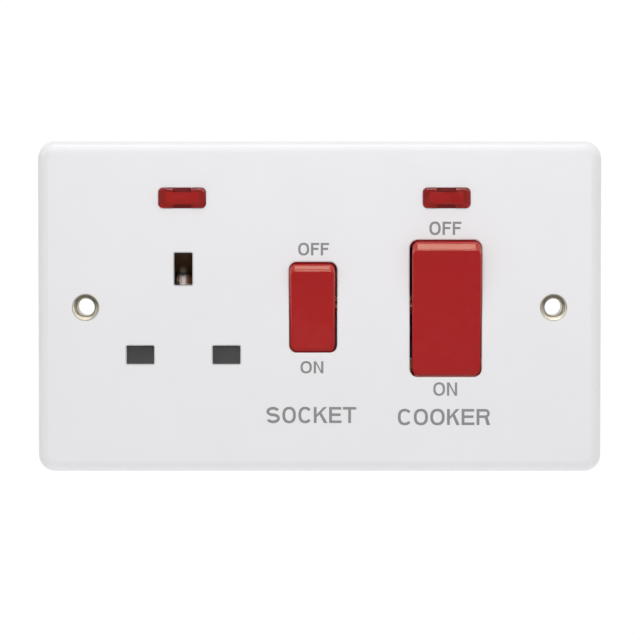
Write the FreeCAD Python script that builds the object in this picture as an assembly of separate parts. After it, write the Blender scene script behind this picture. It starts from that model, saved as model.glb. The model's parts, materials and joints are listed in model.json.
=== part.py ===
import FreeCAD, Part
import math
import os

os.makedirs("parts", exist_ok=True)
V = FreeCAD.Vector

# Axes: X to the right, Z up, the front faces -Y. The rear rim of the plate,
# which meets the wall, lies in y = 0, and the origin is midway between the
# two fixing holes. Millimetres.

# ---------------------------------------------------------------- plate
plate_w, plate_h, plate_d = 146.0, 85.6, 9.0
plate_corner_r = 4.3
plate_draft = 0.5
plate_edge_r = 2.8
aperture_rim = 0.4
skirt_t = 2.4
front_t = 2.6
y_face = -plate_d
y_in = -plate_d + front_t

# fixing holes
fix_x = 60.3
fix_bore_r = 2.25
eyelet_flange_r = 3.45
eyelet_tube_r = 2.75

# three-pin socket
sock_x = -35.15
earth_z = 9.87
pin_z = -12.31
pin_dx = 11.115
earth_w, earth_h = 4.7, 8.4
pin_w, pin_h = 7.1, 4.8

# neon indicators
neon_x = (-35.4, 32.7)
neon_z = 28.2
neon_w, neon_h = 12.2, 5.2

# cooker rocker: it sits a little to the right and low in its aperture
ck_x, ck_py = 32.5, -3.0
ck_x0, ck_x1 = 23.85, 41.65
ck_r_top, ck_r_bot = 18.03, 18.60
ck_on_h, ck_on_z = 8.83, 14.95
ck_z_bot = -16.644
ck_tilt = 7.5
ck_corner = 1.7
bevel_slope = 45.0
bevel_blend = 1.2
ck_rim = 0.5
ck_ap_x0, ck_ap_x1 = 23.22, 41.80
ck_ap_r_top, ck_ap_r_bot = 18.226, 18.85
ck_ap_corner = 2.1
ck_stub_r = 1.5
ck_plunger_dx = 4.5
ck_plunger_r = 1.75
ck_tip = 11.0

# socket rocker: it sits a little to the left and low in its aperture
sk_x, sk_py = -1.6, -4.0
sk_x0, sk_x1 = -7.73, 4.02
sk_r_top, sk_r_bot = 12.21, 12.25
sk_on_h, sk_on_z = 6.84, 9.70
sk_z_bot = -10.394
sk_tilt = 7.0
sk_corner = 1.6
sk_rim = 1.0
sk_ap_x0, sk_ap_x1 = -7.85, 4.51
sk_ap_r_top, sk_ap_r_bot = 12.51, 12.53
sk_ap_corner = 1.9
sk_stub_r = 1.25
sk_plunger_r = 1.55
sk_tip = 9.5

# see-saw contacts
ck_bar_y, ck_bar_t, ck_bar_half, ck_bar_w = 9.3, 1.2, 12.5, 4.6
ck_bar_tilt = 8.2
sk_bar_y, sk_bar_t, sk_bar_half, sk_bar_w = 6.6, 1.0, 9.5, 4.4
sk_bar_tilt = 8.8

# terminals
term_bore_r = 3.0
term_bore_y = 17.2
term_x = (25.5, 39.5)
earth_bore_r = 2.5

# shutter
shut_y0, shut_y1 = -6.2, -4.4
shut_travel = 5.2

# base moulding screws
sock_lugs = [(-49.0, 26.0), (3.0, 26.0), (-49.0, -28.0), (3.0, -28.0)]
cook_lugs = [(14.5, 9.5), (50.5, 20.0), (14.5, -9.5), (50.5, -20.0)]


# ---------------------------------------------------------------- helpers
def box(x0, x1, y0, y1, z0, z1):
    return Part.makeBox(x1 - x0, y1 - y0, z1 - z0, V(x0, y0, z0))


def cyl_x(r, x0, x1, y, z):
    return Part.makeCylinder(r, x1 - x0, V(x0, y, z), V(1, 0, 0))


def cyl_y(r, y0, y1, x, z):
    return Part.makeCylinder(r, y1 - y0, V(x, y0, z), V(0, 1, 0))


def cyl_z(r, z0, z1, x, y):
    return Part.makeCylinder(r, z1 - z0, V(x, y, z0), V(0, 0, 1))


def rwire(cx, cz, w, h, r, y):
    x0, x1, z0, z1 = cx - w / 2, cx + w / 2, cz - h / 2, cz + h / 2
    k = r * (1 - math.sqrt(0.5))
    L = lambda a, b: Part.makeLine(V(a[0], y, a[1]), V(b[0], y, b[1]))
    A = lambda a, m, b: Part.Arc(V(a[0], y, a[1]), V(m[0], y, m[1]), V(b[0], y, b[1])).toShape()
    e = [
        L((x0 + r, z0), (x1 - r, z0)),
        A((x1 - r, z0), (x1 - k, z0 + k), (x1, z0 + r)),
        L((x1, z0 + r), (x1, z1 - r)),
        A((x1, z1 - r), (x1 - k, z1 - k), (x1 - r, z1)),
        L((x1 - r, z1), (x0 + r, z1)),
        A((x0 + r, z1), (x0 + k, z1 - k), (x0, z1 - r)),
        L((x0, z1 - r), (x0, z0 + r)),
        A((x0, z0 + r), (x0 + k, z0 + k), (x0 + r, z0)),
    ]
    return Part.Wire(e)


def rprism(cx, cz, w, h, r, y0, y1):
    return Part.Face(rwire(cx, cz, w, h, r, y0)).extrude(V(0, y1 - y0, 0))


def rbox(x0, x1, y0, y1, z0, z1, r):
    return rprism((x0 + x1) / 2, (z0 + z1) / 2, x1 - x0, z1 - z0, r, y0, y1)


def taper(cx, cz, w0, h0, r0, y0, w1, h1, r1, y1):
    return Part.makeLoft([rwire(cx, cz, w0, h0, r0, y0), rwire(cx, cz, w1, h1, r1, y1)], True, True)


def poly_x(pts, x0, x1):
    """Prism along X from points (y, z)."""
    p = [V(x0, y, z) for y, z in pts]
    return Part.Face(Part.makePolygon(p + [p[0]])).extrude(V(x1 - x0, 0, 0))


def poly_z(pts, z0, z1):
    """Prism along Z from points (x, y)."""
    p = [V(x, y, z0) for x, y in pts]
    return Part.Face(Part.makePolygon(p + [p[0]])).extrude(V(0, 0, z1 - z0))


def lathe_y(pts, x, z):
    """Solid of revolution about the line (x, z) along Y from points (r, y)."""
    p = [V(x + r, y, z) for r, y in pts]
    return Part.Face(Part.makePolygon(p + [p[0]])).revolve(V(x, 0, z), V(0, 1, 0), 360)


def fuse(*s):
    return s[0].multiFuse(list(s[1:])).removeSplitter() if len(s) > 1 else s[0]


def cut(a, *tools):
    return a.cut(list(tools)).removeSplitter()


def turn_x(s, deg, y, z):
    c = s.copy()
    c.rotate(V(0, y, z), V(1, 0, 0), deg)
    return c


def wire_run(pts, r):
    """Round wire along straight legs with rounded elbows."""
    segs = []
    for a, b in zip(pts, pts[1:]):
        a, b = V(*a), V(*b)
        segs.append(Part.makeCylinder(r, (b - a).Length, a, b - a))
    for p in pts[1:-1]:
        segs.append(Part.makeSphere(r, V(*p)))
    return fuse(*segs)


def spring(r_mean, r_wire, length, turns):
    """Coil along +Z from z = 0 to z = length, both ends inside that span."""
    h = length - 2 * r_wire - 0.02
    pitch = h / turns
    helix = Part.makeHelix(pitch, h, r_mean)
    tangent = V(0, 2 * math.pi * r_mean, pitch)
    ring = Part.Wire([Part.makeCircle(r_wire, V(r_mean, 0, 0), tangent)])
    s = Part.Wire(helix.Edges).makePipeShell([ring], True, True)
    s = Part.Solid(s) if s.ShapeType != "Solid" else s
    s.translate(V(0, 0, r_wire + 0.01))
    return s


def save(name, *solids):
    out = []
    for s in solids:
        out += s.Solids
    shape = out[0] if len(out) == 1 else Part.makeCompound(out)
    if not shape.isValid():
        print("invalid shape:", name)
    shape.exportStep("parts/" + name + ".step")


def slot_screw(x, z, y_tip, shank_r, y_head, head_r, y_top, slot_w=0.8, slot_d=0.9):
    """Screw driven from the rear (+Y) with a slotted head."""
    s = fuse(cyl_y(shank_r, y_tip, y_head, x, z), cyl_y(head_r, y_head, y_top, x, z))
    rim = [e for e in s.Edges if abs(e.BoundBox.YMin - y_top) < 1e-6 and abs(e.BoundBox.YMax - y_top) < 1e-6]
    s = s.makeFillet(0.35, rim)
    return s.cut(box(x - slot_w / 2, x + slot_w / 2, y_top - slot_d, y_top + 1, z - head_r - 1, z + head_r + 1))


def cross_screw(x, z, y_tip, shank_r, y_head, head_r, y_top):
    """Self-tapping pan-head screw driven from the rear."""
    tip = lathe_y([(0, y_tip), (0.5, y_tip), (shank_r, y_tip + 1.6), (shank_r, y_head), (head_r, y_head),
                   (head_r, y_top - 0.6), (head_r - 0.6, y_top), (0, y_top)], x, z)
    c = fuse(box(x - 0.4, x + 0.4, y_top - 1.1, y_top + 1, z - 1.5, z + 1.5),
             box(x - 1.5, x + 1.5, y_top - 1.1, y_top + 1, z - 0.4, z + 0.4))
    return tip.cut(c)


# ---------------------------------------------------------------- rockers
def rocker_envelope(x0, x1, py, r_top, r_bot, h_lo, h_hi, corner):
    """Slice between depths h_lo and h_hi in front of the pivot, whose upper and
    lower ends are cylinders about the pivot, with rounded upright corners."""
    halves = []
    for r, z0, z1 in ((r_top, 0.0, r_top + 1), (r_bot, -r_bot - 1, 0.0)):
        halves.append(cyl_x(r, x0, x1, py, 0).common(box(x0 - 1, x1 + 1, py - h_hi, py - h_lo, z0, z1)))
    s = fuse(*halves)
    ends = []
    for e in s.Edges:
        b = e.BoundBox
        if b.XLength < 1e-6 and b.YLength > 0.5 * (h_hi - h_lo) and b.ZLength < r_top and e.Curve.TypeId == "Part::GeomCircle":
            ends.append(e)
    return s.makeFillet(corner, ends)


def rocker_blank(x0, x1, py, r_top, r_bot, h0, z_top, z_bot, slope, corner):
    """Solid rocker: a front face at depth h0 between two sloping bevels, and ends
    that are cylinders about the pivot, with rounded upright corners."""
    back = -0.7
    a = math.radians(slope)
    P = lambda d, z: V(x0, py - d, z)

    def end(z, r, sign):
        # the bevel from the front edge back to the end cylinder, and the cylinder's arc
        b = -h0 * math.sin(a) + abs(z) * math.cos(a)
        t = -b + math.sqrt(b * b - (h0 * h0 + z * z - r * r))
        d1, z1 = h0 - t * math.sin(a), z + sign * t * math.cos(a)
        a0, a1 = math.asin(d1 / r), math.asin(back / r)
        at = lambda q: P(r * math.sin(q), sign * r * math.cos(q))
        arc = Part.Arc(P(d1, z1), at((a0 + a1) / 2), at(a1)).toShape()
        return P(d1, z1), at(a1), arc

    t1, t2, t_arc = end(z_top, r_top, 1)
    b1, b2, b_arc = end(z_bot, r_bot, -1)
    f0, f1 = P(h0, z_bot), P(h0, z_top)
    edges = [Part.makeLine(f0, f1), Part.makeLine(f1, t1), t_arc, Part.makeLine(t2, b2), b_arc, Part.makeLine(b1, f0)]
    s = Part.Face(Part.Wire(Part.__sortEdges__(edges))).extrude(V(x1 - x0, 0, 0))
    joins = []
    for e in s.Edges:
        b = e.BoundBox
        if b.XLength > 0.9 * (x1 - x0) and any(abs(b.YMin - q.y) < 1e-4 and abs(b.ZMin - q.z) < 1e-4 for q in (t1, b1)):
            joins.append(e)
    s = s.makeFillet(bevel_blend, joins)
    ends = [e for e in s.Edges if e.BoundBox.XLength < 1e-6 and e.BoundBox.YLength > 1e-3]
    return s.makeFillet(corner, ends)


def make_rocker(x0, x1, py, r_top, r_bot, h0, z_top, z_bot, slope, corner, rim_r, stub_r, stub_ends, boss_x, boss_r, bore_r, boss_end, wall):
    body = rocker_blank(x0, x1, py, r_top, r_bot, h0, z_top, z_bot, slope, corner)
    # shallow dish along the front face
    half_l, z_mid = (z_top - z_bot) / 2, (z_top + z_bot) / 2
    sag = 0.35
    rd = (half_l * half_l + sag * sag) / (2 * sag)
    dish = cyl_x(rd, x0 - 1, x1 + 1, py - h0 + sag - rd, z_mid)
    body = body.cut(dish).removeSplitter()
    rim = []
    for e in body.Edges:
        b = e.BoundBox
        if b.YMax < py - h0 + sag + 0.3 and b.YMin < py - h0 + sag + 0.05:
            rim.append(e)
    body = body.makeFillet(rim_r, rim)
    inner = cyl_x(r_top - wall, x0 + wall, x1 - wall, py, 0)
    inner = inner.common(box(x0, x1, py - h0 + sag + wall, py + 2, -r_top, r_top))
    body = body.cut(inner)
    adds = []
    for bx in boss_x:
        adds.append(cyl_y(boss_r, py - h0 + sag + wall - 0.4, py - boss_end, bx, 0))
    for edge, wall_x, end in ((x0, x0 + wall, stub_ends[0]), (x1, x1 - wall, stub_ends[1])):
        a, b = sorted((wall_x, edge))
        adds.append(cyl_x(stub_r + 1.5, a, b, py, 0))
        a, b = sorted((wall_x, end))
        adds.append(cyl_x(stub_r, a, b, py, 0))
    # moulded ribs between the plunger barrel and the end walls
    for bx in boss_x:
        adds.append(box(bx - 0.6, bx + 0.6, py - h0 + sag + wall - 0.3, py - 2.0, -(r_top - wall) * 0.93, (r_top - wall) * 0.93))
    body = fuse(body, *adds)
    bores = [cyl_y(bore_r, py - h0 + sag + wall + 0.3, py - boss_end + 1, bx, 0) for bx in boss_x]
    return body.cut(bores).removeSplitter()


def untilt(h, z, deg):
    """A point of the standing-out end, given as it rests, in the rocker's own axes."""
    a = math.radians(deg)
    return h * math.cos(a) - z * math.sin(a), z * math.cos(a) + h * math.sin(a)


ck_h0, ck_z_top = untilt(ck_on_h, ck_on_z, ck_tilt)
sk_h0, sk_z_top = untilt(sk_on_h, sk_on_z, sk_tilt)

ck_wall, sk_wall = 1.6, 1.4
ck_stub_out, sk_stub_out = 10.9, 7.7
cooker_rocker = make_rocker(ck_x0, ck_x1, ck_py, ck_r_top, ck_r_bot, ck_h0, ck_z_top, ck_z_bot, bevel_slope + ck_tilt, ck_corner, ck_rim, ck_stub_r,
                            (ck_x - ck_stub_out, ck_x + ck_stub_out), (ck_x - ck_plunger_dx, ck_x + ck_plunger_dx),
                            2.8, ck_plunger_r + 0.1, -4.0, ck_wall)
save("cooker_rocker", turn_x(cooker_rocker, ck_tilt, ck_py, 0))
socket_rocker = make_rocker(sk_x0, sk_x1, sk_py, sk_r_top, sk_r_bot, sk_h0, sk_z_top, sk_z_bot, bevel_slope + sk_tilt, sk_corner, sk_rim, sk_stub_r,
                            (sk_x - sk_stub_out, sk_x + sk_stub_out), (sk_x,),
                            2.6, sk_plunger_r + 0.1, -3.5, sk_wall)
save("socket_rocker", turn_x(socket_rocker, sk_tilt, sk_py, 0))


# plungers and their springs, standing in the barrels of the rockers
def plunger(x, py, r, y_back, tip):
    s = fuse(cyl_y(r, y_back, py + tip - r, x, 0), Part.makeSphere(r, V(x, py + tip - r, 0)))
    return s


def barrel_spring(x, y0, y1, r_mean, r_wire, turns):
    s = spring(r_mean, r_wire, y1 - y0, turns)
    s.rotate(V(0, 0, 0), V(1, 0, 0), -90)
    s.translate(V(x, y0, 0))
    return s


ck_bore_end = ck_py - ck_h0 + 0.35 + ck_wall + 0.3
sk_bore_end = sk_py - sk_h0 + 0.35 + sk_wall + 0.3
ck_pl_back, sk_pl_back = ck_py + 1.0, sk_py + 0.8
for name, dx in (("live", -ck_plunger_dx), ("neutral", ck_plunger_dx)):
    p = plunger(ck_x + dx, ck_py, ck_plunger_r, ck_pl_back, ck_tip)
    save("cooker_plunger_" + name, turn_x(p, ck_tilt, ck_py, 0))
    c = barrel_spring(ck_x + dx, ck_bore_end, ck_pl_back, 1.38, 0.24, 6)
    save("cooker_spring_" + name, turn_x(c, ck_tilt, ck_py, 0))
p = plunger(sk_x, sk_py, sk_plunger_r, sk_pl_back, sk_tip)
save("socket_plunger", turn_x(p, sk_tilt, sk_py, 0))
c = barrel_spring(sk_x, sk_bore_end, sk_pl_back, 1.22, 0.22, 4)
save("socket_spring", turn_x(c, sk_tilt, sk_py, 0))


# ---------------------------------------------------------------- see-saw contacts
def seesaw(x, y, t, half, w, bump_r):
    x0, x1 = x - w / 2, x + w / 2
    bar = poly_x([(y - t, -half + 0.6), (y - t, half - 0.6), (y - t + 0.6, half), (y, half), (y, -half), (y - t + 0.6, -half)], x0, x1)
    return fuse(bar, cyl_x(bump_r, x0, x1, y, 0))


ck_bump, sk_bump = 1.05, 0.88
for name, dx in (("live", -ck_plunger_dx), ("neutral", ck_plunger_dx)):
    x = ck_x + dx
    bar = seesaw(x, ck_bar_y, ck_bar_t, ck_bar_half, ck_bar_w, ck_bump)
    tip = cyl_y(2.0, ck_bar_y, ck_bar_y + 0.8, x, 10.3)
    save("cooker_contact_" + name, turn_x(bar, -ck_bar_tilt, ck_bar_y, 0))
    save("cooker_moving_tip_" + name, turn_x(tip, -ck_bar_tilt, ck_bar_y, 0))
bar = seesaw(sk_x, sk_bar_y, sk_bar_t, sk_bar_half, sk_bar_w, sk_bump)
tip = cyl_y(1.5, sk_bar_y, sk_bar_y + 0.7, sk_x, 7.8)
save("socket_contact", turn_x(bar, -sk_bar_tilt, sk_bar_y, 0))
save("socket_moving_tip", turn_x(tip, -sk_bar_tilt, sk_bar_y, 0))

save("cooker_fixed_tips", *[cyl_y(2.0, 12.0, 12.8, ck_x + s * ck_plunger_dx, 10.5) for s in (-1, 1)])
save("socket_fixed_tip", cyl_y(1.5, 8.8, 9.5, sk_x, 8.0))

# ---------------------------------------------------------------- cooker terminals
term_screw_z = (17.75, 23.25)
term_screws = []
for name, tx, sx in (("live", term_x[0], -1), ("neutral", term_x[1], 1)):
    b0, b1 = tx - 4.9, tx + 4.9
    cx = ck_x + sx * ck_plunger_dx
    a0, a1 = cx - 2.4, cx + 2.4
    bore = cyl_z(term_bore_r, -40, 40, tx, term_bore_y)
    for way, sz in (("supply", 1), ("load", -1)):
        z0, z1 = (15.0, 26.0) if sz > 0 else (-26.0, -15.0)
        s = rbox(b0, b1, 12.4, 23.2, z0, z1, 0.6)
        holes = [cyl_y(2.0, 18.0, 24.0, tx, sz * z) for z in term_screw_z]
        s = cut(s, bore, *holes)
        if sz > 0:
            s = fuse(s, box(a0, a1, 12.8, 14.0, 8.0, 15.4))
        else:
            saddle = cut(box(a0, a1, 9.9, 12.2, -2.2, 2.2), cyl_x(ck_bump + 0.05, a0 - 1, a1 + 1, ck_bar_y, 0))
            s = fuse(s, box(a0, a1, 12.0, 13.2, -15.4, 2.2), saddle)
        save(way + "_" + name + "_terminal", s)
        for z in term_screw_z:
            term_screws.append(slot_screw(tx, sz * z, 20.25, 1.95, 24.6, 2.6, 26.8))
save("cooker_terminal_screws", *term_screws)

# ---------------------------------------------------------------- socket contacts
t = 0.8


def pin_contact(x):
    """Two sprung leaves above and below a flat pin, joined by a web behind."""
    x0, x1 = x - 3.0, x + 3.0
    up = [(0.4, 2.75), (1.8, 2.05), (10.3, 2.05), (10.3, 2.05 + t), (2.0, 2.05 + t), (0.7, 2.75 + t)]
    top = poly_x([(y, pin_z + z) for y, z in up], x0, x1)
    low = poly_x([(y, pin_z - z) for y, z in up], x0, x1)
    web = box(x0, x1, 9.5, 10.3, pin_z - 2.05 - t, pin_z + 2.05 + t)
    return fuse(top, low, web)


xl, xn = sock_x + pin_dx, sock_x - pin_dx
live_contact = fuse(pin_contact(xl),
                    box(xl + 2.8, -14.0, 9.5, 10.3, -14.8, -10.0),
                    box(-18.0, -14.0, 9.5, 10.3, -14.8, 10.2),
                    box(-18.0, 0.6, 9.5, 10.3, 5.8, 10.2))
save("live_contact", live_contact)
neutral_contact = fuse(pin_contact(xn), box(xn - 2.0, xn + 2.0, 9.5, 10.3, -9.8, 2.0))
save("neutral_contact", neutral_contact)

side = [(2.75, 0.4), (2.05, 1.8), (2.05, 15.6), (2.05 + t, 15.6), (2.05 + t, 2.0), (2.75 + t, 0.7)]
ez0, ez1 = earth_z - 3.9, earth_z + 3.9
earth_contact = fuse(poly_z([(sock_x + a, y) for a, y in side], ez0, ez1),
                     poly_z([(sock_x - a, y) for a, y in side], ez0, ez1),
                     box(sock_x - 2.85, sock_x + 2.85, 14.8, 15.6, ez0, ez1),
                     box(sock_x - 2.0, sock_x + 2.0, 14.8, 15.6, -29.8, ez0 + 0.2),
                     box(sock_x - 2.0, sock_x + 2.0, -0.2, 15.6, -29.8, -29.0),
                     box(sock_x - 2.0, sock_x + 2.0, -0.2, 0.6, -34.6, -29.0))
save("earth_contact", earth_contact)

# ---------------------------------------------------------------- links
saddle = cut(box(sk_x - 2.2, sk_x + 2.2, 7.1, 13.2, -1.9, 1.9), cyl_x(sk_bump + 0.05, sk_x - 4, sk_x + 4, sk_bar_y, 0))
live_link = fuse(box(sk_x - 2.0, term_x[0] - 4.9, 13.0, 13.8, 16.0, 20.0),
                 box(sk_x - 2.0, sk_x + 2.0, 13.0, 13.8, -1.9, 20.0), saddle)
save("live_link", live_link)
nb = term_x[1] - 4.9
neutral_link = fuse(box(nb - 0.8, nb, 16.0, 20.0, -3.0, 20.0),
                    box(xn - 3.0, nb, 17.6, 18.4, -3.0, 2.0),
                    box(xn - 3.0, xn - 2.2, 10.3, 18.4, -3.0, 2.0),
                    box(xn - 3.0, xn + 2.0, 10.3, 11.1, -3.0, 2.0))
save("neutral_link", neutral_link)

# ---------------------------------------------------------------- earthing
strap = fuse(rbox(-62.8, 62.8, -1.0, -0.2, -38.5, -33.5, 1.2),
             rbox(-62.8, -57.8, -1.0, -0.2, -38.5, 2.0, 1.2), rbox(57.8, 62.8, -1.0, -0.2, -38.5, 2.0, 1.2),
             cyl_y(5.0, -1.0, -0.2, -fix_x, 0), cyl_y(5.0, -1.0, -0.2, fix_x, 0),
             rbox(sock_x - 3.0, sock_x + 3.0, -1.0, -0.2, -36.0, -30.4, 0.8),
             rbox(8.2, 17.8, -1.0, -0.2, -36.0, -25.2, 0.8))
strap = cut(strap, *[cyl_y(eyelet_tube_r + 0.03, -3, 2, s * fix_x, 0) for s in (-1, 1)])
save("earth_strap", strap)
et = rbox(8.9, 17.1, -0.2, 10.8, -34.5, -25.2, 0.6)
et = cut(et, cyl_z(earth_bore_r, -40, -20, 13.0, 5.6), cyl_y(2.0, 6.5, 12, 13.0, -29.85))
save("earth_terminal", et)
save("earth_terminal_screw", slot_screw(13.0, -29.85, 8.15, 1.95, 12.2, 2.6, 14.4))


def eyelet(x):
    """Tube with a trumpet mouth in front and a turned-over flange behind."""
    rf, rt, rb, roll = eyelet_flange_r, eyelet_tube_r, fix_bore_r, 1.05
    P = lambda r, y: V(x + r, y, 0)
    k = roll * (1 - math.sqrt(0.5))
    mouth = Part.Arc(P(rb, -8.75 + roll), P(rb + k, -8.75 + k), P(rb + roll, -8.75)).toShape()
    pts = [(rb + roll, -8.75), (rf, -8.7), (rf, -8.45), (rt, -7.25), (rt, -0.2), (4.1, -0.2), (4.1, 0.0), (rb, 0.0), (rb, -8.75 + roll)]
    edges = [mouth] + [Part.makeLine(P(*a), P(*b)) for a, b in zip(pts, pts[1:])]
    return Part.Face(Part.Wire(edges)).revolve(V(x, 0, 0), V(0, 1, 0), 360)


save("fixing_eyelet_left", eyelet(-fix_x))
save("fixing_eyelet_right", eyelet(fix_x))

# ---------------------------------------------------------------- shutter and its carrier
ramp_back = -0.9
bar_z0, bar_z1 = -15.6, -9.2
stem_top = 17.0
win_half = 2.65
closed_edge = earth_z + earth_h / 2 - shut_travel
shutter = fuse(rbox(sock_x - 16.4, sock_x + 16.4, shut_y0, shut_y1, bar_z0, bar_z1, 0.5),
               rbox(sock_x - 5.2, sock_x + 5.2, shut_y0, shut_y1, bar_z0 + 1, stem_top, 0.5))
shutter = cut(shutter, box(sock_x - win_half, sock_x + win_half, -8, 0, -0.2, earth_z + earth_h / 2 + 0.2))
ramp = poly_x([(shut_y0, earth_z + earth_h / 2), (ramp_back, closed_edge - 0.1), (ramp_back, 14.0), (shut_y1, 16.2), (shut_y0, 16.2)],
              sock_x - 2.35, sock_x + 2.35)
web_l = box(sock_x - win_half - 0.1, sock_x + win_half + 0.1, shut_y0, shut_y1, earth_z + earth_h / 2 + 0.1, 16.4)
shutter = fuse(shutter, ramp, web_l)
save("shutter", shutter)

spr_x = (sock_x - 11.5, sock_x + 11.5)
spr_y, spr_z0, spr_z1 = -4.72, bar_z1, 5.0
springs = []
for x in spr_x:
    s = spring(1.2, 0.2, spr_z1 - spr_z0, 9)
    s.translate(V(x, spr_y, spr_z0))
    springs.append(s)
save("shutter_springs", *springs)

car_x0, car_x1, car_z0, car_z1 = -53.0, -17.6, -23.5, 22.8
carrier = fuse(rbox(car_x0, car_x1, -4.2, 0.0, car_z0, car_z1, 1.0),
               box(car_x0, sock_x - 16.7, -6.35, -4.0, -19.0, -2.0),
               box(sock_x + 16.7, car_x1, -6.35, -4.0, -19.0, -2.0),
               *[box(x - 2.2, x + 2.2, -6.3, -4.0, spr_z1, spr_z1 + 2.0) for x in spr_x],
               box(sock_x - 7.2, sock_x - 5.5, -6.35, -4.0, 1.0, 16.0),
               box(sock_x + 5.5, sock_x + 7.2, -6.35, -4.0, 1.0, 16.0))
carrier = cut(carrier,
              box(sock_x - 2.4, sock_x + 2.4, -8, 2, earth_z - earth_h / 2 - 0.1, earth_z + earth_h / 2 + 0.1),
              box(sock_x - 2.7, sock_x + 2.7, -8, -0.55, closed_edge - 0.5, 21.8),
              box(xl - pin_w / 2 - 0.1, xl + pin_w / 2 + 0.1, -8, 2, pin_z - pin_h / 2 - 0.1, pin_z + pin_h / 2 + 0.1),
              box(xn - pin_w / 2 - 0.1, xn + pin_w / 2 + 0.1, -8, 2, pin_z - pin_h / 2 - 0.1, pin_z + pin_h / 2 + 0.1),
              *[box(x - 1.7, x + 1.7, -5.0, -3.0, -10.5, spr_z1) for x in spr_x])
save("shutter_carrier", carrier)

# ---------------------------------------------------------------- neon indicators
for tag, nx in zip(("socket", "cooker"), neon_x):
    lens = fuse(rprism(nx, neon_z, neon_w, neon_h, 1.2, -9.55, y_in), rprism(nx, neon_z, 14.4, 6.8, 1.4, y_in, y_in + 1.0))
    rim = [e for e in lens.Edges if e.BoundBox.YMax < -9.5]
    lens = lens.makeFillet(0.45, rim)
    lens = cut(lens, rprism(nx, neon_z, 8.8, 3.2, 0.5, -8.3, 0),
               *[box(nx - 2.35, nx + 2.35, -10, -8.7, neon_z + a, neon_z + b) for a, b in ((neon_h / 2 - 1.0, neon_h), (-neon_h, -neon_h / 2 + 0.85))])
    save("neon_lens_" + tag, lens)
    holder = rprism(nx, neon_z, 14.4, 6.8, 1.4, y_in + 1.0, 1.0)
    holder = cut(holder, rprism(nx, neon_z, 12.8, 4.8, 0.6, -7, -0.6),
                 cyl_y(0.45, -2, 3, nx + 5.95, neon_z + 0.9), cyl_y(0.45, -2, 3, nx + 5.95, neon_z - 0.9))
    save("neon_holder_" + tag, holder)
    lamp = fuse(cyl_x(2.1, nx - 3.6, nx + 4.6, -3.0, neon_z), Part.makeSphere(2.1, V(nx - 3.6, -3.0, neon_z)),
                box(nx + 4.0, nx + 5.4, -3.5, -2.5, neon_z - 1.7, neon_z + 1.7))
    save("neon_lamp_" + tag, lamp)
    lx, ly = nx + 5.95, 2.6
    rx = nx - 4.0
    low = wire_run([(nx + 5.4, -3.0, neon_z - 0.9), (lx, -3.0, neon_z - 0.9), (lx, ly, neon_z - 0.9), (lx, ly, 19.2)], 0.22)
    up = wire_run([(nx + 5.4, -3.0, neon_z + 0.9), (lx, -3.0, neon_z + 0.9), (lx, ly, neon_z + 0.9), (rx, ly, neon_z + 0.9), (rx, ly, 27.6)], 0.22)
    tail = wire_run([(rx, ly, 22.7), (rx, ly, 19.2)], 0.22)
    save("neon_leads_" + tag, low, up, tail)
    body = fuse(cyl_z(0.85, 22.7, 27.6, rx, ly), cyl_z(1.1, 22.7, 23.9, rx, ly), cyl_z(1.1, 26.4, 27.6, rx, ly))
    save("neon_resistor_" + tag, body)
lead_x = [(nx + 5.95, nx - 4.0) for nx in neon_x]

# ---------------------------------------------------------------- base mouldings
def lugs(points, toward):
    out = []
    for (x, z), (tx, tz) in zip(points, toward):
        out.append(cyl_y(4.0, 0.0, 2.2, x, z))
        x0, x1 = sorted((x, tx)) if tx is not None else (x - 4.0, x + 4.0)
        z0, z1 = sorted((z, tz)) if tz is not None else (z - 4.0, z + 4.0)
        out.append(box(x0, x1, 0.0, 2.2, z0, z1))
    return out


sb_x0, sb_x1, sb_z0, sb_z1, sb_y1 = -53.5, 8.0, -24.0, 22.0, 21.5
w = 1.8
def rear_round(s, y, r):
    return s.makeFillet(r, [e for e in s.Edges if e.BoundBox.YMin > y - 0.01])


sb = fuse(rear_round(rbox(sb_x0, sb_x1, 0.0, sb_y1, sb_z0, sb_z1, 2.0), sb_y1, 1.2),
          box(sb_x1 - 1, 17.8, 11.6, 15.2, 14.6, 21.4), box(sb_x1 - 1, 17.8, 16.2, 19.8, -4.4, 3.4),
          *lugs(sock_lugs, [(None, 20.0), (None, 20.0), (None, -22.0), (None, -22.0)]))
sb = sb.cut(box(sb_x0 + w, sb_x1 - w, -1, sb_y1 - 2.0, sb_z0 + w, sb_z1 - w))
inner = [
    box(-41.6, -40.6, 0.4, sb_y1 - 1, sb_z0 + 1, sb_z1 - 1),
    box(-30.9, -29.9, 0.4, sb_y1 - 1, sb_z0 + 1, sb_z1 - 1),
    box(-19.2, -17.6, 0.0, 9.2, sb_z0 + 1, sb_z1 - 1),
    box(-9.8, -8.0, 0.0, 8.5, sb_z0 + 1, 1.15),
    box(-9.75, -8.05, -2.7, 0.5, -1.1, 1.1),
    box(4.85, 6.4, -2.7, 6.0, -1.1, 1.1),
]
sb = fuse(sb, *inner)
rear_ribs = [box(x - 0.5, x + 0.5, sb_y1 - 0.1, sb_y1 + 1.0, -19.0, 17.0) for x in (-46.0, -35.0, -24.0, -13.0, -2.0)]
sb = fuse(sb, *rear_ribs)
sb = cut(sb,
         box(-43, -27, 17.2, 18.8, -3.4, 2.4), box(sb_x1 - 3, 19, 17.2, 18.8, -3.4, 2.4),
         box(sb_x1 - 3, 19, 12.6, 14.2, 15.6, 20.4),
         box(sock_x - 2.4, sock_x + 2.4, 14.4, 16.0, sb_z0 - 1, sb_z0 + 3),
         *[cyl_z(0.5, 18, 23, x, 2.6) for x in lead_x[0]],
         *[cyl_y(1.7, -1, 4, x, z) for x, z in sock_lugs])
save("socket_base", sb)

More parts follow.
